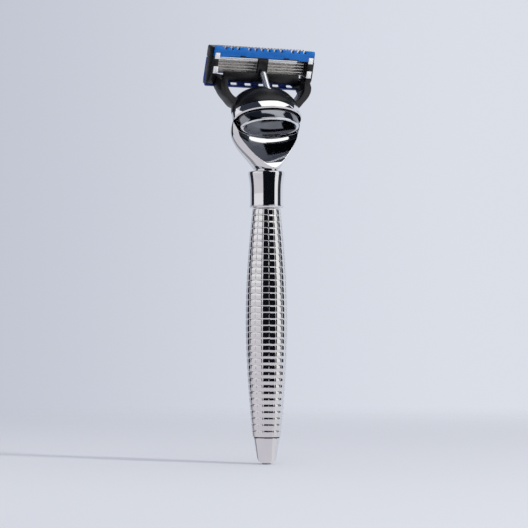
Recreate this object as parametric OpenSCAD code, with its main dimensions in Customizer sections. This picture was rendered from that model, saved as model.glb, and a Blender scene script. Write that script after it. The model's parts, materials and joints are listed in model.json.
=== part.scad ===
// Cartridge razor: engraved metal handle, sprung ejector button and a
// clip-on five-blade cartridge that pivots on its carrier.
// Handle axis is +Z, the tip stands on Z = 0, the button faces -Y.

/* [Handle] */
// Height of the engraved barrel's lower edge above the tip
barrel_z0 = 9.9; // [9.8:0.1:11]
// Length of the engraved barrel
barrel_len = 82.3; // [80:0.1:83]
// Radius of the barrel at its belly
belly_r = 7.65; // [7:0.05:8.4]
// Radius of the barrel at both ends
barrel_end_r = 5.2; // [5:0.05:5.8]
// Rows of engraved cells along the barrel
cell_rows = 35; // [20:1:40]
// Depth of the grooves between rows
groove_depth = 0.16; // [0.05:0.01:0.25]

/* [Head] */
// Lean of the docking axis away from the button side, in degrees
dock_lean = 30; // [29:1:31]
// Half width of the neck's oval rim
rim_half_w = 13.5; // [13.2:0.1:13.8]
// Half depth of the neck's oval rim
rim_half_d = 8.2; // [8:0.05:8.4]
// Travel of the ejector button
button_travel = 1.8; // [1.2:0.1:1.8]

/* [Cartridge] */
// Half width of the cartridge housing
cart_half_w = 20.6; // [20.5:0.1:21.5]
// Backward tilt of the cartridge at rest, in degrees
cart_tilt = 18.4; // [17:0.1:20]
// Distance between neighbouring blades
blade_pitch = 1.07; // [1.05:0.01:1.09]

/* [Hidden] */
$fn = 64;

// Handle stack, from the tip up
barrel_z1 = barrel_z0 + barrel_len;
belly_z = 53;
barrel_bore_r = 3.2;
cell_pitch = barrel_len / cell_rows;
cap_h = 9.5;
cap_r = 4.75;
nose_r = 3.7;
nose_z = 3.55;
nose_lean = 9.5;
rod_r = 2;
rod_gap = 0.05;
collar_z0 = barrel_z1 + 0.2;
collar_z1 = 106;
collar_r = 6;
foot_z = 106.5;
scoop_y = -6.4;
scoop_z = 106.8;
scoop_lean = 39;
scoop_r = 22;

// Docking frame: origin on the rim's centre, +Z along the docking axis
rim_y = 0.7;
rim_z = 127.1;
end_s = -3.3;
mouth_wall = 1.2;
knob_gap = 0.2;
knob_half_w = rim_half_w - mouth_wall - knob_gap;
knob_half_d = rim_half_d - mouth_wall - knob_gap;
knob_s0 = -6.6;
deck_t = 0.7;
bridge_t = 0.35;
knob_s1 = -deck_t - 0.05 - bridge_t - button_travel;
spring_r = 2;
spring_hole_r = 2.15;
spring_s0 = -5.4;
prong_x = 7.5;
nose_half_w = 5.2;
nose_y0 = -1.6;
nose_y1 = 3.6;
nose_h = 4.6;
slip = 0.25;
hub_s0 = 0.15;
hub_h = 8.7;
plunger_y = -5.48;
plunger_r = 1.15;
plunger_tip_s = 14.57;
well_r = 1.75;
well_s = 0.9;
piston_s0 = 4.6;
piston_s1 = 6.2;

// Cartridge frame: origin on the pivot, +Y out of the shaving face, +Z towards the cap
piv_y = 7.19;
piv_z = 139.78;
piv_r = 0.9;
boss_r = 1.45;
fit_gap = 0.05;
arm_y1 = 5.5;
tip_x0 = 15.6;
tip_x1 = 17.9;
wall_x = 18.2;
bar_x = 15.2;
back_n = -2.8;
clip_x0 = 18.05;
clip_x1 = 19.95;
clip_t = 0.3;
upper_leg_u = 9.5;
lower_leg_u = 2.2;
blade_half_l = 17.6;
blade_t = 0.1;
support_t = 0.16;
blade_w = 1.75;
blade_lean = 25;
edge_u = 1.3;
edge_n = 2.6;
base_n = -1;
peg_x = 8.8;
comb_n0 = -3.1;
comb_n1 = -2.3;
plunger_stop_n = -2.45;
slot_pitch = 5.7;
slot_w = 2.9;
slot_x0 = -2.5 * slot_pitch - slot_w / 2;

// Radius of the barrel at height z: a half cosine on each side of the belly
function barrel_r(z) =
    barrel_end_r + (belly_r - barrel_end_r)
    * cos(90 * (z > belly_z ? (z - belly_z) / (barrel_z1 - belly_z) : (belly_z - z) / (belly_z - barrel_z0)));

// Outline of an oval, counter-clockwise
function oval(a, b, steps = 64) = [for (i = [0 : steps - 1]) [a * cos(360 * i / steps), b * sin(360 * i / steps)]];

module dock() translate([0, rim_y, rim_z]) rotate([-dock_lean, 0, 0]) children();

module cart() translate([0, piv_y, piv_z]) rotate([cart_tilt, 0, 0]) children();

// Solid oval prism between two heights
module oval_prism(a, b, s0, s1, steps = 64)
    translate([0, 0, s0]) linear_extrude(s1 - s0) polygon(oval(a, b, steps));

// Cylinder along X between two ends
module x_rod(r, x0, x1) translate([x0, 0, 0]) rotate([0, 90, 0]) cylinder(r = r, h = x1 - x0);

// Box given by its lowest and highest corner
module block(lo, hi) translate(lo) cube(hi - lo);

// Outline in the Y-Z plane, extruded along X
module yz_prism(x0, x1, points)
    translate([x0, 0, 0]) rotate([90, 0, 90]) linear_extrude(x1 - x0) polygon(points);

module both_sides() {
    children();
    mirror([1, 0, 0]) children();
}

// ---- handle ----

module barrel() color("silver") rotate_extrude() {
    ring = [for (i = [0 : cell_rows - 1], half = [0, 1])
        let (z = barrel_z0 + (i + half / 2) * cell_pitch) [barrel_r(z) - (half == 0 ? groove_depth : 0), z]];
    polygon(concat(ring, [[barrel_end_r - groove_depth, barrel_z1], [barrel_bore_r, barrel_z1],
        [barrel_bore_r, barrel_z0]]));
}

module end_cap() color("silver") {
    nose = [for (i = [0 : 8])
        let (start = -acos(sqrt(nose_r * nose_r - nose_z * nose_z) / nose_r), a = start + i * (-nose_lean - start) / 8)
        [nose_r * cos(a), nose_z + nose_r * sin(a)]];
    rotate_extrude()
        polygon(concat([[0, 0]], nose, [[cap_r, cap_h], [barrel_bore_r - rod_gap, cap_h],
            [barrel_bore_r - rod_gap, cap_h + 12], [rod_r + rod_gap, cap_h + 12], [rod_r + rod_gap, 7], [0, 7]]));
}

// Sealing ring in the groove between cap and barrel
module end_seal() color("black") rotate_extrude()
    polygon([[3.3, cap_h], [4.6, cap_h], [4.6, barrel_z0], [3.3, barrel_z0]]);

// Threaded rod that draws cap, barrel, collar and neck together
module tie_rod() color("lightgray") translate([0, 0, 8]) cylinder(r = rod_r, h = foot_z + 5 - 8);

module collar() color("silver") rotate_extrude() {
    flare = [for (i = [0 : 10]) let (t = i / 10) [collar_r + 0.65 * t * t, 98.4 + 6.2 * t]];
    polygon(concat([[rod_r + rod_gap, collar_z0], [collar_r - 0.2, collar_z0], [collar_r + 0.2, collar_z0 + 0.4],
        [collar_r + 0.2, collar_z0 + 1.2], [collar_r, collar_z0 + 1.7]], flare, [[collar_r + 0.5, 105.4],
        [collar_r - 0.1, collar_z1], [4.3, collar_z1], [4.3, foot_z - 2], [rod_r + rod_gap, foot_z - 2]]));
}

// Oval slice used to loft the neck: centre, half width, half depth and lean
module slice(y, z, a, b, lean) translate([0, y, z]) rotate([-lean, 0, 0]) oval_prism(a, b, 0, 0.05, 32);

module neck_blank() {
    sections = [[0, foot_z, 4.4, 5.7, 0], [0.1, 109, 6.4, 6.6, 3], [0.5, 112, 9, 7.2, 8], [1.1, 115.2, 11.4, 7.4, 14],
        [1.4, 118.6, 13.1, 7.7, 20], [1.1, 121.6, rim_half_w, 8, 26]];
    for (i = [0 : len(sections) - 2]) hull() {
        slice(sections[i][0], sections[i][1], sections[i][2], sections[i][3], sections[i][4]);
        slice(sections[i + 1][0], sections[i + 1][1], sections[i + 1][2], sections[i + 1][3], sections[i + 1][4]);
    }
    hull() {
        slice(1.1, 121.6, rim_half_w, 8, 26);
        dock() oval_prism(rim_half_w - 0.03, rim_half_d - 0.03, end_s, end_s + 0.05, 32);
    }
    dock() oval_prism(rim_half_w, rim_half_d, end_s, -0.1);
    translate([0, 0, foot_z - 1.95]) cylinder(r = 4.25, h = 2.2);
}

module neck() color("silver") difference() {
    neck_blank();
    // hollow facet in front, below the button
    intersection() {
        translate([0, scoop_y, scoop_z]) rotate([-scoop_lean, 0, 0])
            translate([0, -scoop_r, 0]) cylinder(r = scoop_r, h = 60, center = true, $fn = 144);
        dock() block([-20, -40, -40], [20, 40, end_s]);
    }
    dock() oval_prism(rim_half_w - mouth_wall, rim_half_d - mouth_wall, knob_s0 - 0.4, 2);
    translate([0, 0, foot_z - 3]) cylinder(r = rod_r + rod_gap, h = 8.2);
}

// Plate in the rim with the nose that the carrier's hub plugs onto
module docking_block() color("dimgray") dock() difference() {
    union() {
        oval_prism(rim_half_w - mouth_wall - fit_gap, rim_half_d - mouth_wall - fit_gap, -deck_t, 0);
        block([-nose_half_w, nose_y0, -0.1], [nose_half_w, nose_y1, nose_h]);
    }
    both_sides() block([prong_x - 1.15, -1.35, -2], [prong_x + 1.15, 1.35, 1]);
}

// ---- ejector ----

// Oval knob with rounded edges and a dished thumb face
module button() color("silver") dock() difference() {
    union() {
        oval_prism(knob_half_w, knob_half_d, knob_s0 + 1.2, knob_s1);
        hull() {
            oval_prism(knob_half_w, knob_half_d, knob_s0 + 1.2, knob_s0 + 1.3);
            oval_prism(knob_half_w - 0.35, knob_half_d - 0.35, knob_s0 + 0.35, knob_s0 + 0.4);
            oval_prism(knob_half_w - 1, knob_half_d - 1, knob_s0, knob_s0 + 0.05);
        }
    }
    hull() {
        oval_prism(knob_half_w - 1.5, knob_half_d - 1.3, knob_s0 - 0.1, knob_s0);
        oval_prism(knob_half_w - 5, knob_half_d - 3, knob_s0 + 0.5, knob_s0 + 0.55);
    }
    translate([0, 0, spring_s0]) cylinder(r = spring_hole_r, h = 3);
}

// Bridge on the knob with two prongs that reach the carrier through the deck
module pusher() color("gray") dock() difference() {
    union() {
        block([-8.6, -2.6, knob_s1], [8.6, 2.6, knob_s1 + bridge_t]);
        both_sides() block([prong_x - 1, -1.2, knob_s1 + bridge_t - 0.05], [prong_x + 1, 1.2, hub_s0 - 0.05]);
    }
    translate([0, 0, knob_s1 - 1]) cylinder(r = spring_hole_r, h = 3);
}

// Envelope of a coil spring
module spring_tube(r_out, r_in, h) difference() {
    cylinder(r = r_out, h = h);
    translate([0, 0, -1]) cylinder(r = r_in, h = h + 2);
}

module button_spring() color("lightgray") dock()
    translate([0, 0, spring_s0 + 0.05]) spring_tube(spring_r, spring_r - 0.4, -deck_t - 0.1 - spring_s0);

// ---- cartridge carrier ----

// Curved arm of the carrier, seen from the front, on the +X side
module arm() {
    outline = [[11, 128.9], [12.9, 129], [14.9, 131.3], [17.3, 133.7], [18.3, 135.6], [18.5, 137.1], [tip_x1, 137.3],
        [tip_x1, 138.6], [tip_x0, 138.6], [15.7, 136.4], [15, 134.8], [13.2, 132.9], [11, 131.4]];
    translate([0, arm_y1, 0]) rotate([90, 0, 0]) linear_extrude(arm_y1) polygon(outline);
    yz_prism(tip_x0, tip_x1, [[0.3, 136.2], [arm_y1, 134.9], [8.3, 138.4], [7, 141.2], [2.2, 138.9], [0.3, 138.1]]);
    translate([0, piv_y, piv_z]) {
        x_rod(boss_r, tip_x0, tip_x1);
        x_rod(piv_r, tip_x1 - 0.5, 20);
    }
}

module yoke() color("#202020") {
    difference() {
        union() {
            dock() hull() {
                oval_prism(rim_half_w - 0.2, rim_half_d - 0.15, hub_s0, 1);
                oval_prism(rim_half_w - 0.9, rim_half_d - 0.4, 3.6, 3.65, 32);
                oval_prism(rim_half_w - 2.8, rim_half_d - 0.8, 6.4, 6.45, 32);
                oval_prism(rim_half_w - 6.3, rim_half_d - 3, hub_h - 0.05, hub_h, 32);
            }
            both_sides() arm();
        }
        dock() {
            block([-nose_half_w - slip, nose_y0 - slip, -1], [nose_half_w + slip, nose_y1 + slip, nose_h + 0.3]);
            translate([0, plunger_y, well_s]) cylinder(r = well_r, h = 12);
        }
    }
}

module plunger() color("gray") dock() translate([0, plunger_y, 0]) {
    translate([0, 0, piston_s0 - 0.8]) cylinder(r = plunger_r, h = plunger_tip_s - plunger_r - piston_s0 + 0.8);
    translate([0, 0, plunger_tip_s - plunger_r]) sphere(r = plunger_r);
    translate([0, 0, piston_s0]) cylinder(r = well_r - fit_gap, h = piston_s1 - piston_s0);
}

module plunger_spring() color("lightgray") dock()
    translate([0, plunger_y, well_s + 0.02]) spring_tube(well_r - 0.15, plunger_r + 0.15, piston_s0 - well_s - 0.04);

// ---- cartridge ----

// Outline of one end wall across the cartridge, as distances [out of the face, towards the cap]
wall_outline = [[-1.6, -0.9], [-0.4, -2.2], [0.6, -2.4], [1.5, -2], [1.5, 1.2], [2, 1.4], [2, 7.3], [2.7, 7.5],
    [2.7, 10.9], [2, 11.6], [-2, 11.6], [-2, 8.25], [back_n, 8.1], [back_n, 1.4]];

module housing() color("#262626") cart() difference() {
    union() {
        both_sides() yz_prism(wall_x, cart_half_w, wall_outline);
        // cap bar, back bar, guard carrier and centre rib
        block([-wall_x - 0.1, -2, 8.2], [wall_x + 0.1, 2.2, 11.6]);
        block([-bar_x, back_n, 0], [bar_x, -1.6, 3]);
        block([-bar_x, 0.3, -0.9], [bar_x, 1.5, 0.9]);
        block([-1.9, -2.7, 2.9], [1.9, -1.4, 8.25]);
        // webs that tie the back bar to the guard carrier, and the carrier to the end walls
        for (x = [-14.9, -0.7, 13.5]) block([x, -1.7, 0], [x + 1.4, 0.5, 0.8]);
        both_sides() block([bar_x - 0.1, 0.7, -2], [wall_x + 0.1, 1.5, -1.6]);
        both_sides() block([bar_x - 0.7, 0.7, -2], [bar_x, 1.5, -0.8]);
        both_sides() block([peg_x - 1, -3.2, 8.7], [peg_x + 1, -1.9, 9.1]);
    }
    // way for the plunger, which presses on the rib
    block([-1.6, -5, -2], [1.6, plunger_stop_n, 5.7]);
    both_sides() {
        x_rod(piv_r + fit_gap, wall_x - 1, 20.1);
        for (u = [upper_leg_u, lower_leg_u])
            block([wall_x - 1, -6, u - fit_gap], [clip_x1 + fit_gap, 6, u + clip_t + fit_gap]);
    }
}

// Soft guard ahead of the blades: finned plate, lower lip and the blocks between
module guard() color("#1d4fb0") cart() {
    half_w = cart_half_w - 0.3;
    difference() {
        yz_prism(-half_w, half_w, [[1.55, 0.8], [2.4, 0.9], [2.9, 0.4], [3.1, -0.9], [2.8, -2.3], [1.9, -3.3],
            [0.9, -3.4], [0.5, -2.9], [0.9, -2.5], [1.55, -2.3]]);
        for (i = [0 : 5]) block([slot_x0 + slot_pitch * i, 0, -2.7], [slot_x0 + slot_w + slot_pitch * i, 6, -1.8]);
        for (i = [0 : 2]) block([-18, 2.85, 0.1 - 0.6 * i], [18, 6, 0.35 - 0.6 * i]);
    }
    both_sides() yz_prism(clip_x1 + 0.1, cart_half_w, [[1.55, -2.2], [2.6, -2.7], [3, -0.9], [2.8, 6.9], [2.05, 7.2],
        [2.05, 1.3], [1.55, 1.1]]);
}

module lube_strip() color("#7fc7c0") cart() block([-16.4, 2.22, 8.9], [16.4, 2.9, 11.3]);

module trimmer_guard() color("#1f6fd0") cart() difference() {
    yz_prism(-20.3, 20.3, [[comb_n1, 8.3], [comb_n0, 8.3], [comb_n0, 11.4], [comb_n0 + 0.5, 12.1], [comb_n1, 12.1]]);
    for (side = [-1, 1], group = [3.9, 13.5], i = [-1 : 1])
        translate([side * group + 2.55 * i, 0, 11.9]) block([-0.55, -5, -0.75], [0.55, -2, 1]);
    both_sides() {
        block([clip_x0 - 0.1, -5, 7.4], [clip_x1 + 0.1, -2, upper_leg_u + clip_t + 0.1]);
        block([peg_x - 1.05, -5, 7.9], [peg_x + 1.05, -2, 9.15]);
    }
    block([-14, -5, 7.9], [14, -2, 8.7]);
}

module trimmer_blade() color("silver") cart() difference() {
    block([-19.4, comb_n1 + 0.03, 9.8], [19.4, comb_n1 + 0.25, 12.5]);
    for (i = [-12 : 12]) translate([1.3 * i, 0, 12.3]) block([-0.25, -5, -0.35], [0.25, -1, 1]);
}

// Aluminium clip bent round one end of the cartridge
module clip() cart() {
    front = edge_n + 0.2;
    back = back_n - 0.05;
    block([16.6, front, lower_leg_u], [clip_x1, front + clip_t, upper_leg_u + clip_t]);
    for (u = [lower_leg_u, upper_leg_u]) block([clip_x0, back - clip_t, u], [clip_x1, front + 0.05, u + clip_t]);
    block([clip_x0, back - clip_t, lower_leg_u], [clip_x1, back, 4.8]);
    block([clip_x0, back - clip_t, 7.5], [clip_x1, back, upper_leg_u + clip_t]);
}

module clip_right() color("silver") clip();

module clip_left() color("silver") mirror([1, 0, 0]) clip();

// Bevelled blade strip number k, counted from the guard
module blade(k) color("gainsboro") cart() translate([0, edge_n, edge_u + blade_pitch * (k - 1)])
    rotate([blade_lean, 0, 0])
    yz_prism(-blade_half_l, blade_half_l, [[0, 0], [0, 0.35], [0, blade_w], [-blade_t, blade_w], [-blade_t, 0.35]]);

// Bent steel support that carries blade number k
module blade_support(k) color("silver") cart() translate([0, edge_n, edge_u + blade_pitch * (k - 1)]) {
    rotate([blade_lean, 0, 0]) yz_prism(-blade_half_l, blade_half_l,
        [[-blade_t, 0.45], [-blade_t, blade_w + 0.05], [-blade_t - support_t, blade_w + 0.05],
        [-blade_t - support_t, 0.45]]);
    root_n = -(blade_t + support_t) * cos(blade_lean) - blade_w * sin(blade_lean);
    root_u = blade_w * cos(blade_lean) - blade_t;
    root_half_l = blade_half_l - 0.1;
    block([-root_half_l, base_n - edge_n, root_u - support_t], [root_half_l, root_n + 0.12, root_u]);
}

barrel();
end_cap();
end_seal();
tie_rod();
collar();
neck();
docking_block();
button();
pusher();
button_spring();
yoke();
plunger();
plunger_spring();
housing();
guard();
lube_strip();
trimmer_guard();
trimmer_blade();
clip_left();
clip_right();
blade(1);  // blade_1
blade(2);  // blade_2
blade(3);  // blade_3
blade(4);  // blade_4
blade(5);  // blade_5
blade_support(1);  // blade_support_1
blade_support(2);  // blade_support_2
blade_support(3);  // blade_support_3
blade_support(4);  // blade_support_4
blade_support(5);  // blade_support_5
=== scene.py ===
"""Cartridge razor: the looks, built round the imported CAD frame."""
import json
import math

import bmesh
import bpy
from mathutils import Matrix, Vector


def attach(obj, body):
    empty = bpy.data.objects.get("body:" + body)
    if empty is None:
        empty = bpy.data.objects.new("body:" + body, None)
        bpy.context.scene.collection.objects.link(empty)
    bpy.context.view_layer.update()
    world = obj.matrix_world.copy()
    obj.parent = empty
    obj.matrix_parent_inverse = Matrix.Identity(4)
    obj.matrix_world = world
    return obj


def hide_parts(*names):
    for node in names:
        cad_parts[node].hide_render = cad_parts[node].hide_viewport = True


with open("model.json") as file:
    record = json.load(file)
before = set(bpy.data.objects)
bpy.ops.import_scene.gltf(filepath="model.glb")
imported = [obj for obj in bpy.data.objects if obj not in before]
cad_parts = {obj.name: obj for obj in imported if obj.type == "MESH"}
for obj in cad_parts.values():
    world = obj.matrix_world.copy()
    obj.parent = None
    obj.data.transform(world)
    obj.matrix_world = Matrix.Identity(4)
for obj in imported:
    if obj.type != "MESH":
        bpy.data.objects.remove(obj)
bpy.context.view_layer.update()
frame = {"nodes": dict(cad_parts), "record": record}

MM = 0.001
SLOTS = {part["node"]: part["material_slot"] for part in frame["record"]["subparts"]}

# Steps round a full turn of a turned or oval shape
ROUND = 128

# Sizes in millimetres and degrees that fit the CAD model; S is the height along the docking axis
BARREL_Z0, BARREL_Z1, BELLY_Z = 9.9, 92.2, 53.0
BARREL_END_R, BELLY_R, BORE_R = 5.2, 7.65, 3.2
CELL_ROWS, CELL_COLUMNS = 35, 18
FOOT_Z, ROD_HOLE_R = 106.5, 2.05
RIM_Y, RIM_Z, DOCK_LEAN = 0.7, 127.1, 30.0
RIM_A, RIM_B = 13.5, 8.2
MOUTH_WALL, KNOB_GAP = 1.2, 0.2
MOUTH_S, KNOB_S0, KNOB_S1 = -3.3, -6.6, -2.9
SPRING_HOLE_R, SPRING_HOLE_S = 2.15, -5.4
PLUNGER_Y, PLUNGER_R, WELL_R, PLUNGER_TIP_S = -5.48, 1.15, 1.75, 14.57

# Most values of a noise texture lie between these
NOISE_LOW, NOISE_HIGH = 0.3, 0.7


# ---------------------------------------------------------------- geometry helpers

def mesh_from(name, bm):
    """New mesh with the shape of a bmesh, which is freed."""
    mesh = bpy.data.meshes.new(name)
    bm.to_mesh(mesh)
    bm.free()
    return mesh


def add_object(name, data):
    """New object in the scene."""
    obj = bpy.data.objects.new(name, data)
    bpy.context.scene.collection.objects.link(obj)
    return obj


def to_object(name, bm, crease=40):
    """Turns a bmesh in millimetres into a smooth-shaded object in metres."""
    bmesh.ops.scale(bm, vec=(MM, MM, MM), verts=bm.verts)
    bmesh.ops.recalc_face_normals(bm, faces=bm.faces)
    obj = add_object(name, mesh_from(name, bm))
    shade(obj, crease)
    return obj


def shade(obj, crease):
    """Smooth shading, with edges sharper than the crease angle kept sharp."""
    mesh = obj.data
    mesh.polygons.foreach_set("use_smooth", [True] * len(mesh.polygons))
    bm = bmesh.new()
    bm.from_mesh(mesh)
    limit = math.radians(crease)
    for edge in bm.edges:
        edge.smooth = not (len(edge.link_faces) == 2 and edge.calc_face_angle(0) > limit)
    bm.to_mesh(mesh)
    bm.free()


def skin(bm, rings, closed=False):
    """Joins rings of equal length with quads; closed joins the last ring to the first as well."""
    loops = [[bm.verts.new(point) for point in ring] for ring in rings]
    pairs = list(zip(loops, loops[1:])) + ([(loops[-1], loops[0])] if closed else [])
    for low, high in pairs:
        count = len(low)
        for i in range(count):
            j = (i + 1) % count
            bm.faces.new((low[i], low[j], high[j], high[i]))
    return loops


def tube_solid(name, rings, crease=40):
    """Solid through rings of points, capped at both ends."""
    bm = bmesh.new()
    loops = skin(bm, rings)
    bm.faces.new(list(reversed(loops[0])))
    bm.faces.new(loops[-1])
    return to_object(name, bm, crease)


def ring_solid(name, rings, crease=40):
    """Solid whose rings run through a bore, so that the last ring meets the first."""
    bm = bmesh.new()
    skin(bm, rings, closed=True)
    return to_object(name, bm, crease)


def prism(name, axis, low, high, outline):
    """Solid with an outline extruded along X or Y."""
    rings = []
    for level in (low, high):
        rings.append([Vector((level, u, v)) if axis == "X" else Vector((u, level, v)) for u, v in outline])
    return tube_solid(name, rings)


def oval(a, b, z, steps=ROUND):
    """Ring of points with half axes a and b at one height."""
    angles = [2 * math.pi * i / steps for i in range(steps)]
    return [Vector((a * math.cos(angle), b * math.sin(angle), z)) for angle in angles]


def circle(r, z, steps=ROUND):
    """Round ring of points at one height."""
    return oval(r, r, z, steps)


def arc(cx, cy, r, start, end, steps):
    """Points on an arc in a profile plane, angles in degrees."""
    angles = [math.radians(start + (end - start) * i / steps) for i in range(steps + 1)]
    return [(cx + r * math.cos(angle), cy + r * math.sin(angle)) for angle in angles]


def between(a, b, c, d, t):
    """Catmull-Rom value at t from b to c, with a before and d after them."""
    square = 2 * a - 5 * b + 4 * c - d
    cube = 3 * b - a - 3 * c + d
    return 0.5 * (2 * b + (c - a) * t + square * t * t + cube * t ** 3)


def spline(points, steps):
    """Smooth curve through tuples of numbers, with evenly spaced steps between neighbours."""
    padded = [points[0]] + list(points) + [points[-1]]
    out = []
    for corners in zip(padded, padded[1:], padded[2:], padded[3:]):
        for i in range(steps):
            out.append(tuple(between(*values, i / steps) for values in zip(*corners)))
    return out + [tuple(points[-1])]


def dock(point):
    """From the docking frame (its Z along the docking axis) to the frame of the whole razor."""
    lean = Matrix.Rotation(math.radians(-DOCK_LEAN), 4, "X")
    return lean @ Vector(point) + Vector((0, RIM_Y, RIM_Z))


def docked(rings):
    """Rings of the docking frame in the frame of the whole razor."""
    return [[dock(point) for point in ring] for ring in rings]


def add_boolean(obj, cutter, operation="DIFFERENCE"):
    """Cuts one object with another or joins them, and removes the second."""
    modifier = obj.modifiers.new("cut", "BOOLEAN")
    modifier.operation = operation
    modifier.solver = "EXACT"
    modifier.object = cutter
    apply_modifiers(obj)
    bpy.data.objects.remove(cutter)


def apply_modifiers(obj):
    """Bakes an object's modifiers into its mesh."""
    graph = bpy.context.evaluated_depsgraph_get()
    graph.update()
    mesh = bpy.data.meshes.new_from_object(obj.evaluated_get(graph))
    obj.modifiers.clear()
    old = obj.data
    obj.data = mesh
    mesh.name = old.name


def merge_close(obj, distance):
    """Merges corners closer than a distance in millimetres."""
    bm = bmesh.new()
    bm.from_mesh(obj.data)
    bmesh.ops.remove_doubles(bm, verts=bm.verts, dist=distance * MM)
    bmesh.ops.dissolve_degenerate(bm, edges=bm.edges, dist=distance / 3 * MM)
    bm.to_mesh(obj.data)
    bm.free()


def bevel(obj, width, segments, angle):
    """Rounds the edges sharper than the angle; width is in millimetres."""
    modifier = obj.modifiers.new("round", "BEVEL")
    modifier.width = width * MM
    modifier.segments = segments
    modifier.limit_method = "ANGLE"
    modifier.angle_limit = math.radians(angle)
    apply_modifiers(obj)


def softened(node, finish, width, segments):
    """Copy of a CAD node's shape with moulded or rolled edges; width is in millimetres."""
    doubled, flat = 0.002, 0.5
    bm = bmesh.new()
    bm.from_mesh(frame["nodes"][node].data)
    bmesh.ops.remove_doubles(bm, verts=bm.verts, dist=doubled * MM)
    bmesh.ops.dissolve_limit(bm, angle_limit=math.radians(flat), verts=bm.verts, edges=bm.edges)
    name = node + "_" + finish
    obj = add_object(name, mesh_from(name, bm))
    bevel(obj, width, segments, angle=32)
    shade(obj, crease=60)
    return obj


def body_of_node(node):
    """The body that carries a CAD node."""
    return next(name for name, nodes in frame["record"]["behaviour"]["bodies"].items() if node in nodes)


def stand_in(obj, node, material):
    """Lets a piece replace one CAD node: it joins the node's body, wears the material it is given, and the
    node is hidden.
    """
    obj.data.materials.clear()
    obj.data.materials.append(material)
    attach(obj, body_of_node(node))
    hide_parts(node)


def repaint(node, material):
    """Gives a carried-over CAD node its material."""
    mesh = frame["nodes"][node].data
    mesh.materials.clear()
    mesh.materials.append(material)


# ---------------------------------------------------------------- materials

def new_material(name):
    """New node material, with its nodes, its links and its shader."""
    material = bpy.data.materials.new(name)
    material.use_nodes = True
    nodes, links = material.node_tree.nodes, material.node_tree.links
    return material, nodes, links, nodes["Principled BSDF"]


def noise(nodes, links, scale, detail, roughness=0.5, stretch=(1, 1, 1)):
    """Noise in object space; scale is in features per metre."""
    place = nodes.new("ShaderNodeTexCoord")
    mapping = nodes.new("ShaderNodeMapping")
    mapping.inputs["Scale"].default_value = stretch
    texture = nodes.new("ShaderNodeTexNoise")
    texture.inputs["Scale"].default_value = scale
    texture.inputs["Detail"].default_value = detail
    texture.inputs["Roughness"].default_value = roughness
    links.new(place.outputs["Object"], mapping.inputs["Vector"])
    links.new(mapping.outputs["Vector"], texture.inputs["Vector"])
    return texture.outputs["Fac"]


def spread(nodes, links, value, low, high):
    """Maps a noise value to a range of numbers."""
    span = nodes.new("ShaderNodeMapRange")
    span.inputs["From Min"].default_value = NOISE_LOW
    span.inputs["From Max"].default_value = NOISE_HIGH
    span.inputs["To Min"].default_value = low
    span.inputs["To Max"].default_value = high
    links.new(value, span.inputs["Value"])
    return span.outputs["Result"]


def blend(nodes, links, factor, first, second):
    """Mixes two colours by a factor that varies from place to place."""
    mix = nodes.new("ShaderNodeMix")
    mix.data_type = "RGBA"
    mix.inputs["A"].default_value = (*first, 1)
    mix.inputs["B"].default_value = (*second, 1)
    links.new(factor, mix.inputs["Factor"])
    return mix.outputs["Result"]


def tint(nodes, links, value, dark, light):
    """Mixes two colours by a noise value."""
    return blend(nodes, links, spread(nodes, links, value, 0, 1), dark, light)


def bumped(nodes, links, shader, value, strength, distance):
    """Fine relief from a noise value; distance is in millimetres."""
    bump = nodes.new("ShaderNodeBump")
    bump.inputs["Strength"].default_value = strength
    bump.inputs["Distance"].default_value = distance * MM
    links.new(value, bump.inputs["Height"])
    links.new(bump.outputs["Normal"], shader.inputs["Normal"])


def metal(name, dark, light, rough_low, rough_high, grain=(1, 1, 1), bump=0.0, metallic=1.0):
    """Metal with faint polishing marks: grain stretches them along one axis."""
    cloud_scale, mark_scale, mark_depth = 90, 1400, 0.01
    material, nodes, links, shader = new_material(name)
    shader.inputs["Metallic"].default_value = metallic
    clouds = noise(nodes, links, cloud_scale, 4)
    marks = noise(nodes, links, mark_scale, 2, 0.6, grain)
    links.new(tint(nodes, links, clouds, dark, light), shader.inputs["Base Color"])
    links.new(spread(nodes, links, marks, rough_low, rough_high), shader.inputs["Roughness"])
    if bump:
        bumped(nodes, links, shader, marks, bump, mark_depth)
    return material


def plastic(name, dark, light, rough_low, rough_high, grain_scale, bump, specular=0.5, coat=0.0):
    """Moulded plastic or rubber with a fine texture and slight colour variation."""
    cloud_scale, grain_depth, coat_roughness = 260, 0.03, 0.15
    material, nodes, links, shader = new_material(name)
    shader.inputs["Specular IOR Level"].default_value = specular
    shader.inputs["Coat Weight"].default_value = coat
    shader.inputs["Coat Roughness"].default_value = coat_roughness
    clouds = noise(nodes, links, cloud_scale, 3)
    grain = noise(nodes, links, grain_scale, 3, 0.6)
    links.new(tint(nodes, links, clouds, dark, light), shader.inputs["Base Color"])
    links.new(spread(nodes, links, grain, rough_low, rough_high), shader.inputs["Roughness"])
    bumped(nodes, links, shader, grain, bump, grain_depth)
    return material


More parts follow.
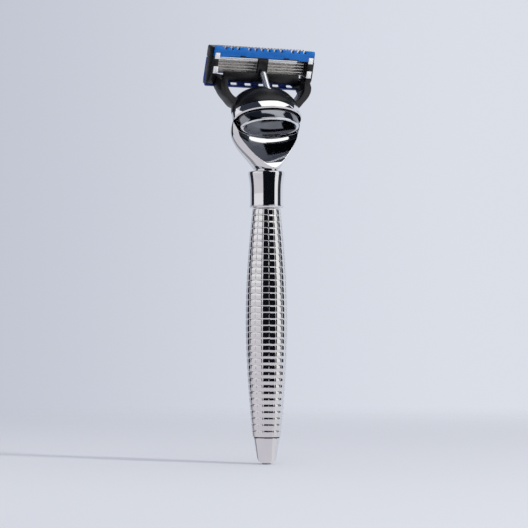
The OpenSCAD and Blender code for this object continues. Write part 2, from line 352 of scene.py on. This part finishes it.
def make_materials():
    """A finish for each material slot of the record, painted light on the chrome knob (a painted highlight
    on its ring, a painted dark reflection in its dish), and a finish for the plunger.
    """
    return {
        "chrome": metal("polished_plate", (0.80, 0.80, 0.82), (0.86, 0.86, 0.87), 0.025, 0.05),
        "handle_silver": metal("engraved_plate", (0.80, 0.79, 0.80), (0.87, 0.87, 0.87), 0.03, 0.07),
        # The chrome knob is coloured much darker than the other chrome, a painted dark reflection; its ring
        # is a brighter, bluish copy as a painted highlight, and its dish a near-black copy as a painted
        # dark reflection.
        "button_chrome": metal("knob_painted_dark_reflection", (0.24, 0.25, 0.28), (0.32, 0.33, 0.36), 0.05, 0.10),
        "button_ring_highlight": metal("ring_painted_highlight", (0.80, 0.83, 0.88), (0.88, 0.91, 0.95), 0.08, 0.14),
        "button_dish_dark_reflection": metal("dish_painted_dark_reflection", (0.07, 0.08, 0.10), (0.15, 0.16, 0.19), 0.05, 0.12,
                             grain=(1, 6, 1)),
        "rod_steel": metal("turned_rod", (0.50, 0.50, 0.51), (0.62, 0.61, 0.60), 0.25, 0.40,
                           grain=(1, 1, 9), bump=0.3),
        "spring_steel": metal("spring_wire", (0.48, 0.48, 0.50), (0.60, 0.60, 0.60), 0.20, 0.32),
        "blade_steel": metal("ground_steel", (0.60, 0.60, 0.62), (0.92, 0.92, 0.93), 0.16, 0.34,
                             grain=(0.06, 1, 1), bump=0.15),
        "support_steel": metal("stamped_steel", (0.66, 0.63, 0.60), (0.98, 0.96, 0.93), 0.18, 0.34,
                               grain=(0.1, 1, 1), bump=0.2, metallic=0.75),
        "clip_aluminium": metal("rolled_strip", (0.86, 0.86, 0.87), (0.95, 0.95, 0.95), 0.30, 0.42,
                                grain=(1, 1, 0.15), bump=0.1, metallic=0.45),
        "plunger_steel": metal("plunger_plate", (0.78, 0.79, 0.82), (0.88, 0.89, 0.91), 0.14, 0.22,
                               metallic=0.8),
        "black_rubber": plastic("seal_rubber", (0.015, 0.015, 0.016), (0.03, 0.03, 0.032), 0.55, 0.75,
                                grain_scale=2600, bump=0.3),
        "dark_plastic": plastic("dock_plastic", (0.02, 0.02, 0.022), (0.035, 0.035, 0.04), 0.35, 0.5,
                                grain_scale=2200, bump=0.2),
        "black_plastic": plastic("black_moulding", (0.003, 0.003, 0.004), (0.007, 0.007, 0.009), 0.22, 0.34,
                                 grain_scale=2400, bump=0.15, specular=0.35),
        "grey_plastic": plastic("grey_moulding", (0.30, 0.31, 0.33), (0.40, 0.41, 0.43), 0.22, 0.34,
                                grain_scale=1800, bump=0.1, specular=0.6, coat=0.3),
        "blue_elastomer": plastic("blue_rubber", (0.008, 0.035, 0.22), (0.015, 0.055, 0.30), 0.3, 0.45,
                                  grain_scale=2400, bump=0.15),
        "blue_plastic": plastic("blue_moulding", (0.0, 0.115, 0.43), (0.002, 0.155, 0.54), 0.24, 0.36,
                                grain_scale=2000, bump=0.08, specular=0.25, coat=0.1),
        "lube_strip": plastic("waxy_strip", (0.20, 0.50, 0.52), (0.28, 0.60, 0.62), 0.4, 0.6,
                              grain_scale=1500, bump=0.5),
    }


# ---------------------------------------------------------------- handle

def barrel_radius(z):
    """Barrel outline: a half cosine on each side of the belly."""
    span = BARREL_Z1 - BELLY_Z if z > BELLY_Z else BELLY_Z - BARREL_Z0
    return BARREL_END_R + (BELLY_R - BARREL_END_R) * math.cos(math.pi / 2 * abs(z - BELLY_Z) / span)


def cell_drop(u, v):
    """Drop of a cell's surface at u across and v along it, each from -1 to 1: a crown within a groove."""
    crown_v, crown_u, squareness = 0.085, -0.01, 8
    groove_start, groove_width, groove_depth = 0.82, 0.18, 0.08
    rim = (abs(u) ** squareness + abs(v) ** squareness) ** (1 / squareness)
    groove = min(1.0, max(0.0, (rim - groove_start) / groove_width))
    return crown_v * v * v + crown_u * u * u + groove_depth * groove * groove


def make_barrel():
    """Barrel engraved with rows and columns of pillow-shaped cells."""
    samples = [-1, -0.95, -0.89, -0.83, -0.62, -0.3, 0, 0.3, 0.62, 0.83, 0.89, 0.95]
    turn = math.radians(9.3)
    row_h = (BARREL_Z1 - BARREL_Z0) / CELL_ROWS
    places = [(column, u) for column in range(CELL_COLUMNS) for u in samples]
    heights = [(row, v) for row in range(CELL_ROWS) for v in samples] + [(CELL_ROWS - 1, 1)]
    rings = []
    for row, v in heights:
        z = BARREL_Z0 + (row + (v + 1) / 2) * row_h
        ring = []
        for column, u in places:
            angle = turn + 2 * math.pi * (column + (u + 1) / 2) / CELL_COLUMNS
            r = barrel_radius(z) - cell_drop(u, v)
            ring.append(Vector((r * math.cos(angle), r * math.sin(angle), z)))
        rings.append(ring)
    angles = [turn + 2 * math.pi * i / len(places) for i in range(len(places))]
    for z in (BARREL_Z1, BARREL_Z0):
        rings.append([Vector((BORE_R * math.cos(angle), BORE_R * math.sin(angle), z)) for angle in angles])
    return ring_solid("barrel_engraved", rings, 60)


def make_end_cap():
    """Smooth tapering cap with a round tip, a small flat to stand on and a spigot for the barrel."""
    cap_h, cap_r, nose_r, nose_z, lean = 9.5, 4.75, 3.7, 3.55, 9.5
    edge_r, spigot_r, spigot_z, hole_z = 0.15, 3.15, 21.5, 7
    start = -math.degrees(math.acos(math.sqrt(nose_r ** 2 - nose_z ** 2) / nose_r))
    nose = arc(0, nose_z, nose_r, start, -lean, 24)
    edge = [(cap_r - 0.02, cap_h - 0.2)] + arc(cap_r - 0.16, cap_h - edge_r, edge_r, 10, 90, 4)
    spigot = [(spigot_r, cap_h), (spigot_r, spigot_z), (ROD_HOLE_R, spigot_z), (ROD_HOLE_R, hole_z)]
    return tube_solid("end_cap_turned", [circle(r, z) for r, z in nose + edge + spigot], 30)


def make_collar():
    """Waisted collar with a bead below and a flare above."""
    low_z, top_z, waist_r = 92.4, 106, 6.0
    socket_r, socket_z = 4.3, 104.5
    flare_z, flare_h, flare_out, steps = 98.4, 6.2, 0.65, 12
    foot = [(waist_r - 0.5, low_z), (waist_r - 0.2, low_z + 0.1)]
    bead = arc(waist_r - 0.05, low_z + 0.75, 0.3, -60, 60, 8)
    flare = [(waist_r, low_z + 1.7)]
    for i in range(steps + 1):
        flare.append((waist_r + flare_out * (i / steps) ** 2, flare_z + flare_h * i / steps))
    crown = arc(waist_r + 0.15, top_z - 0.7, 0.5, 0, 90, 8)
    bore = [(socket_r, top_z), (socket_r, socket_z), (ROD_HOLE_R, socket_z), (ROD_HOLE_R, low_z)]
    return ring_solid("collar_turned", [circle(r, z) for r, z in foot + bead + flare + crown + bore], 30)


def make_tie_rod():
    """Rod with rolled threads at both ends."""
    low, high, rod_r = 8.0, 111.5, 2.0
    pitch, depth, length = 0.7, 0.25, 12.0
    rise, crest, fall = 0.1, 0.35, 0.6
    valley_r = rod_r - depth
    turns = int(length / pitch)
    profile = [(valley_r, low)]
    for base in (low, high - length):
        for i in range(turns):
            z = base + i * pitch
            profile += [(valley_r, z + rise), (rod_r, z + crest), (valley_r, z + fall)]
        profile.append((rod_r, base + turns * pitch + rise) if base == low else (valley_r, high))
    return tube_solid("tie_rod_threaded", [circle(r, z, 48) for r, z in profile], 25)


def neck_rings():
    """Oval sections from the neck's foot to its rim, given by Y, Z, half width, half depth and lean."""
    sections = [(0, FOOT_Z, 4.4, 5.7, 0), (0.1, 109, 6.4, 6.6, 3), (0.5, 112, 9.0, 7.2, 8),
                (1.1, 115.2, 11.4, 7.4, 14), (1.4, 118.6, 13.1, 7.7, 20), (1.1, 121.6, 13.5, 8.0, 26)]
    rim_s0, rim_s1, edge, shift = -2.6, -0.25, 0.12, 0.07
    lean = math.radians(DOCK_LEAN)
    rim = [(RIM_Y + s * math.sin(lean), RIM_Z + s * math.cos(lean), RIM_A, RIM_B, DOCK_LEAN)
           for s in (rim_s0, rim_s1)]
    rim.append((rim[-1][0] + shift, rim[-1][1] + edge, RIM_A - edge, RIM_B - edge, DOCK_LEAN))
    rings = []
    for y, z, a, b, tilt in spline(sections + rim[:1], 8) + rim[1:]:
        turn = Matrix.Rotation(math.radians(-tilt), 4, "X")
        rings.append([turn @ p + Vector((0, y, z)) for p in oval(a, b, 0)])
    return rings


def make_scoop():
    """Cutter for the facet: a leaning cylinder with a steep lip under the button, ending at its mouth."""
    scoop_y, scoop_z, scoop_r, scoop_lean = -6.4, 106.8, 22, 39
    depth, foot_end, foot_reach, foot_curve = 0.1, 3.0, 3.5, 0.035
    lip_start, lip_bend, lip_length, lip_curve, lip_slope = 11.6, 0.8, 2.0, 0.375, 0.6
    first, last, step_h, tiny = -20, 75, 0.4, 1e-7
    lean = Matrix.Rotation(math.radians(-scoop_lean), 4, "X")
    rings = []
    for step in range(first, last):
        t = step * step_h
        below = min(foot_reach, max(0.0, foot_end - t))
        above = min(lip_length, max(0.0, t - lip_start))
        lip = lip_curve * min(lip_bend, above) ** 2 + lip_slope * max(0.0, above - lip_bend)
        centre = Vector((0, depth + foot_curve * below ** 2 - lip - scoop_r, t))
        ring = circle(scoop_r, 0, 2 * ROUND)
        rings.append([lean @ (p + centre) + Vector((0, scoop_y, scoop_z)) for p in ring])
    scoop = tube_solid("scoop", rings)
    bm = bmesh.new()
    bm.from_mesh(scoop.data)
    everything = bm.verts[:] + bm.edges[:] + bm.faces[:]
    slope = math.radians(DOCK_LEAN)
    axis = Vector((0, math.sin(slope), math.cos(slope)))
    cut = bmesh.ops.bisect_plane(bm, geom=everything, dist=tiny, plane_co=dock((0, 0, MOUTH_S)) * MM,
                                 plane_no=axis, clear_outer=True)
    rim = [edge for edge in cut["geom_cut"] if isinstance(edge, bmesh.types.BMEdge)]
    bmesh.ops.edgeloop_fill(bm, edges=rim)
    bmesh.ops.recalc_face_normals(bm, faces=bm.faces)
    bm.to_mesh(scoop.data)
    bm.free()
    return scoop


def make_neck():
    """Chrome neck: a loft from its round foot to its oval rim, with a hollow facet and the knob's mouth."""
    spigot_r, spigot_z, rod_z0, rod_z1 = 4.25, 104.55, 103.5, 111.7
    a, b = RIM_A - MOUTH_WALL, RIM_B - MOUTH_WALL
    mouth_s0, mouth_s1 = KNOB_S0 - 0.4, 2
    recess_out = 0.88
    neck = tube_solid("neck_polished", neck_rings(), 30)
    add_boolean(neck, tube_solid("spigot", [circle(spigot_r, z) for z in (spigot_z, FOOT_Z + 1)]), "UNION")
    add_boolean(neck, make_scoop())
    add_boolean(neck, tube_solid("mouth", docked([oval(a, b, s) for s in (mouth_s0, mouth_s1)])))
    recess = [(-0.5, -1.0), (recess_out, MOUTH_S + 0.02), (recess_out, MOUTH_S - 0.2)]
    add_boolean(neck, tube_solid("recess", docked([oval(a + out, b + out, s) for out, s in recess])))
    add_boolean(neck, tube_solid("rod_hole", [circle(ROD_HOLE_R, z) for z in (rod_z0, rod_z1)]))
    merge_close(neck, distance=0.03)
    bevel(neck, width=0.1, segments=2, angle=28)
    shade(neck, crease=45)
    return neck


# ---------------------------------------------------------------- button

def make_button():
    """Oval knob: straight skirt, rounded shoulder, a flat ring and a dished face; the ring's brightness is
    a painted highlight.
    """
    a, b = RIM_A - MOUTH_WALL - KNOB_GAP, RIM_B - MOUTH_WALL - KNOB_GAP
    taper_in, round_r, edge, seat_top = 0.42, 0.75, 0.1, -2
    dish_a, dish_b, dish_depth, dish_steps = a - 1.6, b - 1.45, 0.6, 16
    corner = [(taper_in + round_r - x, KNOB_S0 + round_r + y) for x, y in arc(0, 0, round_r, -10, -84, 12)]
    rings = [oval(0.5, 0.3, KNOB_S1), oval(a - edge, b - edge, KNOB_S1), oval(a, b, KNOB_S1 - edge)]
    rings += [oval(a - inset, b - inset, s) for inset, s in [(0, MOUTH_S - 0.2)] + corner]
    rings.append(oval(a - 1.45, b - 1.35, KNOB_S0))
    for i in range(dish_steps):
        t = math.cos(math.pi / 2 * i / dish_steps)
        rings.append(oval(dish_a * t, dish_b * t, KNOB_S0 + 0.05 + dish_depth * (1 - t * t)))
    knob = tube_solid("button_polished", docked(rings), 35)
    seat = [circle(SPRING_HOLE_R, s, 48) for s in (SPRING_HOLE_S, seat_top)]
    add_boolean(knob, tube_solid("spring_seat", docked(seat)))
    shade(knob, crease=35)
    return knob


def paint_knob_light(knob, ring, dish):
    """Paints light on the knob: a brighter, bluish copy of its chrome on the ring round the dish as a
    painted highlight, and a near-black copy on the dish as a painted dark reflection.
    """
    knob.data.materials.append(ring)
    knob.data.materials.append(dish)
    ring_highlight_index, dish_dark_reflection_index = 1, 2
    across, axis = dock((0, 1, 0)) - dock((0, 0, 0)), dock((0, 0, 1)) - dock((0, 0, 0))
    ring_a, ring_b, ring_top, dish_rim, dish_top = RIM_A - 3.0, RIM_B - 2.85, 0.4, 0.06, 0.9
    # Faces of the dish get the painted dark reflection, faces of the ring the painted highlight.
    for face in knob.data.polygons:
        place = face.center / MM - dock((0, 0, KNOB_S0))
        height = place.dot(axis)
        side = place - axis * height
        if height < dish_top and math.hypot(side.x / ring_a, side.dot(across) / ring_b) < 1:
            face.material_index = dish_dark_reflection_index if height > dish_rim else ring_highlight_index
        elif height < ring_top:
            face.material_index = ring_highlight_index


def make_coil(name, centre_y, s0, s1, coil_r, wire_r, turns):
    """Coil spring along the docking axis, its wire centre between s0 and s1."""
    per_turn, sides = 28, 10
    up = Vector((0, 0, 1))
    rings = []
    count = int(turns * per_turn)
    for i in range(count + 1):
        t = i / count
        angle = 2 * math.pi * turns * t
        rise = s0 + (s1 - s0) * (t * t * (3 - 2 * t))
        out = Vector((math.cos(angle), math.sin(angle), 0))
        middle = Vector((0, centre_y, rise)) + out * coil_r
        around_wire = [2 * math.pi * k / sides for k in range(sides)]
        rings.append([dock(middle + out * (wire_r * math.cos(a)) + up * (wire_r * math.sin(a)))
                      for a in around_wire])
    return tube_solid(name, rings, 60)


# ---------------------------------------------------------------- carrier

def make_plunger():
    """Grey finger with a ball end and the piston that guides it."""
    stem_s, piston_s0, piston_s1, piston_r, edge = 3.9, 4.6, 6.2, WELL_R - 0.05, 0.15
    stem = [(0.4, stem_s - 0.1), (PLUNGER_R, stem_s), (PLUNGER_R, piston_s0)]
    piston = [(WELL_R - 0.1, piston_s0), (piston_r, piston_s0 + 0.1), (piston_r, piston_s1 - edge),
              (WELL_R - 0.2, piston_s1), (PLUNGER_R, piston_s1)]
    tip = arc(0, PLUNGER_TIP_S - PLUNGER_R, PLUNGER_R, 0, 88, 14)
    rings = [[p + Vector((0, PLUNGER_Y, 0)) for p in circle(r, s, 64)] for r, s in stem + piston + tip]
    return tube_solid("plunger_finger", docked(rings), 35)


def make_arm(side):
    """One arm of the carrier: curved blade, tip round the pivot, boss and pin; side is -1 or 1."""
    depth, wall, chamfer = 5.5, (15.6, 17.9), 0.15
    outer = spline([(9.5, 128.0), (12.9, 129.2), (15.0, 131.2), (17.0, 133.4), (18.1, 135.4),
                    (18.35, 137.1)], 6)
    inner = spline([(15.65, 138.6), (15.7, 136.6), (14.9, 134.6), (13.1, 132.6), (9.5, 131.0)], 6)
    outline = [(side * x, z) for x, z in outer + [(wall[1], 138.6)] + inner]
    arm = prism("arm", "Y", 0, depth, outline)
    tip = spline([(0.3, 136.4), (2.6, 135.5), (5.4, 135.0), (7.2, 136.6), (8.4, 138.6),
                  (8.1, 140.4), (7.0, 141.1), (4.6, 140.1), (2.2, 138.9), (0.3, 138.0)], 4)
    add_boolean(arm, prism("tip", "X", side * wall[0], side * wall[1], tip), "UNION")
    pivot = Vector((0, 7.19, 139.78))
    boss, pin = (1.45, *wall), (0.9, 17.4, 20.0)
    for radius, start, end in (boss, pin):
        ends = [(radius - chamfer, start), (radius, start + chamfer),
                (radius, end - chamfer), (radius - chamfer, end)]
        rings = [[pivot + Vector((side * x, p.x, p.y)) for p in circle(r, 0, 64)] for r, x in ends]
        add_boolean(arm, tube_solid("boss", rings), "UNION")
    return arm


def make_yoke():
    """Black carrier: dome over the docking nose, two curved arms and the pins for the cartridge."""
    half_w, half_d, top_s = RIM_A - 0.2, RIM_B - 0.15, 8.8
    insets = [(0, 0, 0.15), (0, 0, 1.0), (0.25, 0.1, 2.4), (1.0, 0.4, 4.2), (2.5, 1.0, 6.2),
              (4.4, 2.0, 7.6), (6.4, 3.2, 8.5)]
    stations = [(half_w - w, half_d - d, s) for w, d, s in insets]
    crown = [(half_w - 8.5, half_d - 5.0, top_s - 0.05), (0.6, 0.3, top_s)]
    profile = stations[:1] + spline(stations[1:], 6) + crown
    yoke = tube_solid("yoke_moulded", docked([oval(a, b, s) for a, b, s in profile]))
    for side in (-1, 1):
        add_boolean(yoke, make_arm(side), "UNION")
    pocket_x, pocket_y0, pocket_y1 = 5.45, -1.85, 3.85
    pocket_ends, well_ends = (-1, 4.9), (0.9, 13)
    corners = [(-pocket_x, pocket_y0), (pocket_x, pocket_y0), (pocket_x, pocket_y1), (-pocket_x, pocket_y1)]
    pocket = [[(x, y, s) for x, y in corners] for s in pocket_ends]
    add_boolean(yoke, tube_solid("pocket", docked(pocket)))
    well = [[p + Vector((0, PLUNGER_Y, 0)) for p in circle(WELL_R, s, 64)] for s in well_ends]
    add_boolean(yoke, tube_solid("well", docked(well)))
    bevel(yoke, width=0.3, segments=3, angle=35)
    shade(yoke, crease=50)
    return yoke


# ---------------------------------------------------------------- stage, light, camera

VIEW_AZIMUTH = math.radians(-27)
TO_CAMERA = Vector((math.sin(VIEW_AZIMUTH), -math.cos(VIEW_AZIMUTH), 0))
TO_RIGHT = Vector((math.cos(VIEW_AZIMUTH), math.sin(VIEW_AZIMUTH), 0))
WHITE = (1.0, 1.0, 1.0)

# Point above the floor that the dome and the boxes lie round, in metres
CARD_FOCUS = Vector((0, 0, 0.12))


def around(angle, distance):
    """Point on the floor round the razor: angle in degrees to the right of the camera."""
    a = math.radians(angle)
    return (TO_CAMERA * math.cos(a) + TO_RIGHT * math.sin(a)) * distance


def heading(angle, elevation):
    """Unit vector: angle in degrees to the right of the camera, elevation above the horizon."""
    rise = math.radians(elevation)
    return around(angle, math.cos(rise)) + Vector((0, 0, math.sin(rise)))


def steps_between(ends, steps):
    """Evenly spaced numbers from one end to the other."""
    return [ends[0] + (ends[1] - ends[0]) * i / steps for i in range(steps + 1)]


def glow(name, colour, strength):
    """Material that only gives light."""
    material = bpy.data.materials.new(name)
    material.use_nodes = True
    nodes, links = material.node_tree.nodes, material.node_tree.links
    nodes.clear()
    emission = nodes.new("ShaderNodeEmission")
    emission.inputs["Color"].default_value = (*colour, 1)
    emission.inputs["Strength"].default_value = strength
    output = nodes.new("ShaderNodeOutputMaterial")
    links.new(emission.outputs["Emission"], output.inputs["Surface"])
    return material


def add_card(name, rows, colour, strength=1):
    """Card through rows of points in metres, which only reflections see."""
    bm = bmesh.new()
    loops = [[bm.verts.new(point) for point in row] for row in rows]
    for low, high in zip(loops, loops[1:]):
        for i in range(len(low) - 1):
            bm.faces.new((low[i], low[i + 1], high[i + 1], high[i]))
    card = add_object(name, mesh_from(name, bm))
    card.data.materials.append(glow(name + "_glow", colour, strength))
    card.visible_camera = False
    card.visible_diffuse = False
    card.visible_shadow = False
    card.visible_transmission = False


def add_band(name, angles, edges, colour, strength=1):
    """Curved card between two angles and two edges, each a distance and a height in metres."""
    rows = []
    for distance, height in edges:
        lift = Vector((0, 0, height))
        rows.append([around(angle, distance) + lift for angle in steps_between(angles, 24)])
    add_card(name, rows, colour, strength)


def make_card(name, angles, distance, heights, colour, strength=1):
    """Curved upright card, between two angles and two heights in metres."""
    add_band(name, angles, [(distance, height) for height in heights], colour, strength)


def make_floor_card(name, angles, radii, colour):
    """Sector of the floor as reflections see it, between two angles and two distances in metres."""
    lift = 0.0002
    add_band(name, angles, [(radius, lift) for radius in radii], colour)


def make_dome(name, angles, elevations, distance, colour):
    """Patch of a sphere above the razor, between two angles and two elevations."""
    rows = []
    for elevation in steps_between(elevations, 10):
        row = [distance * heading(angle, elevation) for angle in steps_between(angles, 24)]
        rows.append([CARD_FOCUS + point for point in row])
    add_card(name, rows, colour)


def make_canopy(name, centre, toward, distance, size, colour, strength):
    """Flat card above the razor, its long side lying towards a second direction."""
    aim = heading(*centre)
    along = heading(*toward) - aim
    along = (along - aim * along.dot(aim)).normalized()
    across = aim.cross(along)
    middle = CARD_FOCUS + aim * distance
    half_length, half_width = along * (size[0] / 2), across * (size[1] / 2)
    rows = [[middle - half_length - half_width, middle + half_length - half_width],
            [middle - half_length + half_width, middle + half_length + half_width]]
    add_card(name, rows, colour, strength)


def make_cards():
    """The studio that the polished metal mirrors: dark cards, pale cards, soft boxes and a pale floor."""
    lilac = (0.63, 0.61, 0.66)
    make_card("dark_front", (-24, 56), 0.22, (0.0, 0.30), (0.004, 0.005, 0.007))
    make_card("left_low", (-98, -24), 0.50, (0.0, 0.135), (0.66, 0.65, 0.68))
    make_card("left_high", (-98, -24), 0.50, (0.135, 0.42), (0.84, 0.83, 0.85))
    make_card("dark_left", (-130, -98), 0.40, (0.0, 0.5), (0.02, 0.02, 0.03))
    make_card("right_strip", (58, 81), 0.45, (0.0, 0.55), (0.9, 0.9, 0.9))
    make_card("dark_right", (83, 112), 0.40, (0.0, 0.45), (0.03, 0.035, 0.045))
    make_card("low_fill", (20, 85), 0.07, (0.121, 0.150), WHITE, 1.2)
    make_dome("dark_ceiling", (-70, 150), (30, 89), 0.85, (0.030, 0.038, 0.055))
    make_canopy("leaning_box", (78, 50), (18, 60), 0.5, (0.62, 0.26), WHITE, 1.25)
    make_canopy("rear_box", (146, 60), (100, 75), 0.5, (0.30, 0.14), WHITE, 1.2)
    make_floor_card("floor_front", (-24, 50), (0.002, 0.2), lilac)
    make_floor_card("floor_side", (-110, -24), (0.002, 0.48), lilac)
    make_floor_card("floor_right", (50, 90), (0.002, 0.4), (0.72, 0.71, 0.74))
    make_floor_card("floor_left", (-135, -110), (0.002, 0.4), (0.28, 0.28, 0.31))


def make_light(name, angle, elevation, distance, size, power):
    """Area light aimed at the razor's middle, which reflections don't see; in metres, degrees and watts."""
    focus = Vector((0, 0, 0.07))
    data = bpy.data.lights.new(name, "AREA")
    data.shape = "RECTANGLE"
    data.size, data.size_y = size
    data.energy = power
    light = add_object(name, data)
    light.location = focus + distance * heading(angle, elevation)
    light.rotation_mode = "QUATERNION"
    light.rotation_quaternion = (focus - light.location).to_track_quat("-Z", "Y")
    light.visible_glossy = False


def make_floor():
    """Pale floor that fades into the backdrop far from the razor."""
    radius, fade_start, fade_end = 3.0, 0.14, 0.85
    bm = bmesh.new()
    bmesh.ops.create_circle(bm, cap_ends=True, segments=96, radius=radius)
    floor = add_object("floor", mesh_from("floor", bm))
    material, nodes, links, shader = new_material("floor_paint")
    shader.inputs["Base Color"].default_value = (0.755, 0.755, 0.765, 1)
    shader.inputs["Roughness"].default_value = 0.9
    shader.inputs["Specular IOR Level"].default_value = 0.0
    place = nodes.new("ShaderNodeTexCoord")
    length = nodes.new("ShaderNodeVectorMath")
    length.operation = "LENGTH"
    fade = nodes.new("ShaderNodeMapRange")
    fade.interpolation_type = "SMOOTHSTEP"
    fade.inputs["From Min"].default_value = fade_start
    fade.inputs["From Max"].default_value = fade_end
    fade.inputs["To Min"].default_value = 1.0
    fade.inputs["To Max"].default_value = 0.0
    links.new(place.outputs["Object"], length.inputs[0])
    links.new(length.outputs["Value"], fade.inputs["Value"])
    links.new(fade.outputs["Result"], shader.inputs["Alpha"])
    floor.data.materials.append(material)


def make_world():
    """Pale studio backdrop, darker on the left of the camera's view."""
    left_end, right_end = -0.17, 0.10
    left_colour, right_colour = (0.515, 0.545, 0.630), (0.705, 0.735, 0.805)
    world = bpy.data.worlds.new("studio")
    bpy.context.scene.world = world
    world.use_nodes = True
    nodes, links = world.node_tree.nodes, world.node_tree.links
    background = nodes["Background"]
    place = nodes.new("ShaderNodeTexCoord")
    side = nodes.new("ShaderNodeVectorMath")
    side.operation = "DOT_PRODUCT"
    side.inputs[1].default_value = TO_RIGHT
    ramp = nodes.new("ShaderNodeMapRange")
    ramp.interpolation_type = "SMOOTHSTEP"
    ramp.inputs["From Min"].default_value = left_end
    ramp.inputs["From Max"].default_value = right_end
    links.new(place.outputs["Generated"], side.inputs[0])
    links.new(side.outputs["Value"], ramp.inputs["Value"])
    colour = blend(nodes, links, ramp.outputs["Result"], left_colour, right_colour)
    links.new(colour, background.inputs["Color"])
    background.inputs["Strength"].default_value = 1.0


def make_camera():
    """Level camera low in front of the razor, aimed slightly up; lengths are in metres."""
    distance, eye_z, aim_z, field, sensor = 0.900, 0.044, 0.0723, 0.19096, 36
    aside = TO_RIGHT * -0.00098
    data = bpy.data.cameras.new("camera")
    data.sensor_width = sensor
    data.lens = sensor * distance / field
    camera = add_object("camera", data)
    camera.location = TO_CAMERA * distance + aside + Vector((0, 0, eye_z))
    aim = aside + Vector((0, 0, aim_z)) - camera.location
    camera.rotation_mode = "QUATERNION"
    camera.rotation_quaternion = aim.to_track_quat("-Z", "Y")
    bpy.context.scene.camera = camera


# ---------------------------------------------------------------- build

def build():
    """Every visible piece: new ones stand in for CAD nodes, and the other nodes get a material."""
    materials = make_materials()
    pieces = {
        "barrel": make_barrel(),
        "end_cap": make_end_cap(),
        "collar": make_collar(),
        "tie_rod": make_tie_rod(),
        "neck": make_neck(),
        "button": make_button(),
        "button_spring": make_coil("button_spring_coil", centre_y=0, s0=-5.1, s1=-1.45,
                                   coil_r=1.75, wire_r=0.2, turns=4.5),
        "plunger": make_plunger(),
        "plunger_spring": make_coil("plunger_spring_coil", centre_y=PLUNGER_Y, s0=1.12, s1=4.38,
                                    coil_r=1.42, wire_r=0.16, turns=5),
        "yoke": make_yoke(),
    }
    # CAD shapes that only need soft edges: how they are made, width in millimetres and segments
    soft_edges = {
        "docking_block": ("moulded", 0.1, 2),
        "pusher": ("moulded", 0.08, 2),
        "housing": ("moulded", 0.12, 3),
        "guard": ("moulded", 0.08, 2),
        "lube_strip": ("waxed", 0.2, 4),
        "trimmer_guard": ("moulded", 0.1, 3),
        "clip_left": ("folded", 0.1, 3),
        "clip_right": ("folded", 0.1, 3),
    }
    for node, (finish, width, segments) in soft_edges.items():
        pieces[node] = softened(node, finish, width, segments)
    for node, piece in pieces.items():
        stand_in(piece, node, materials[SLOTS[node]])
    pieces["plunger"].data.materials[0] = materials["plunger_steel"]
    # Painted light on the knob: a painted highlight on its ring and a painted dark reflection in its dish.
    paint_knob_light(pieces["button"], materials["button_ring_highlight"], materials["button_dish_dark_reflection"])
    for node in frame["nodes"]:
        if node not in pieces:
            repaint(node, materials[SLOTS[node]])


build()
make_world()
make_floor()
make_cards()
make_light("key_strip", 52, 38, 1.3, (0.10, 0.25), 5.6)
make_light("top_box", 10, 66, 1.2, (0.6, 0.6), 1.0)
make_camera()
bpy.context.scene.view_settings.view_transform = "Standard"
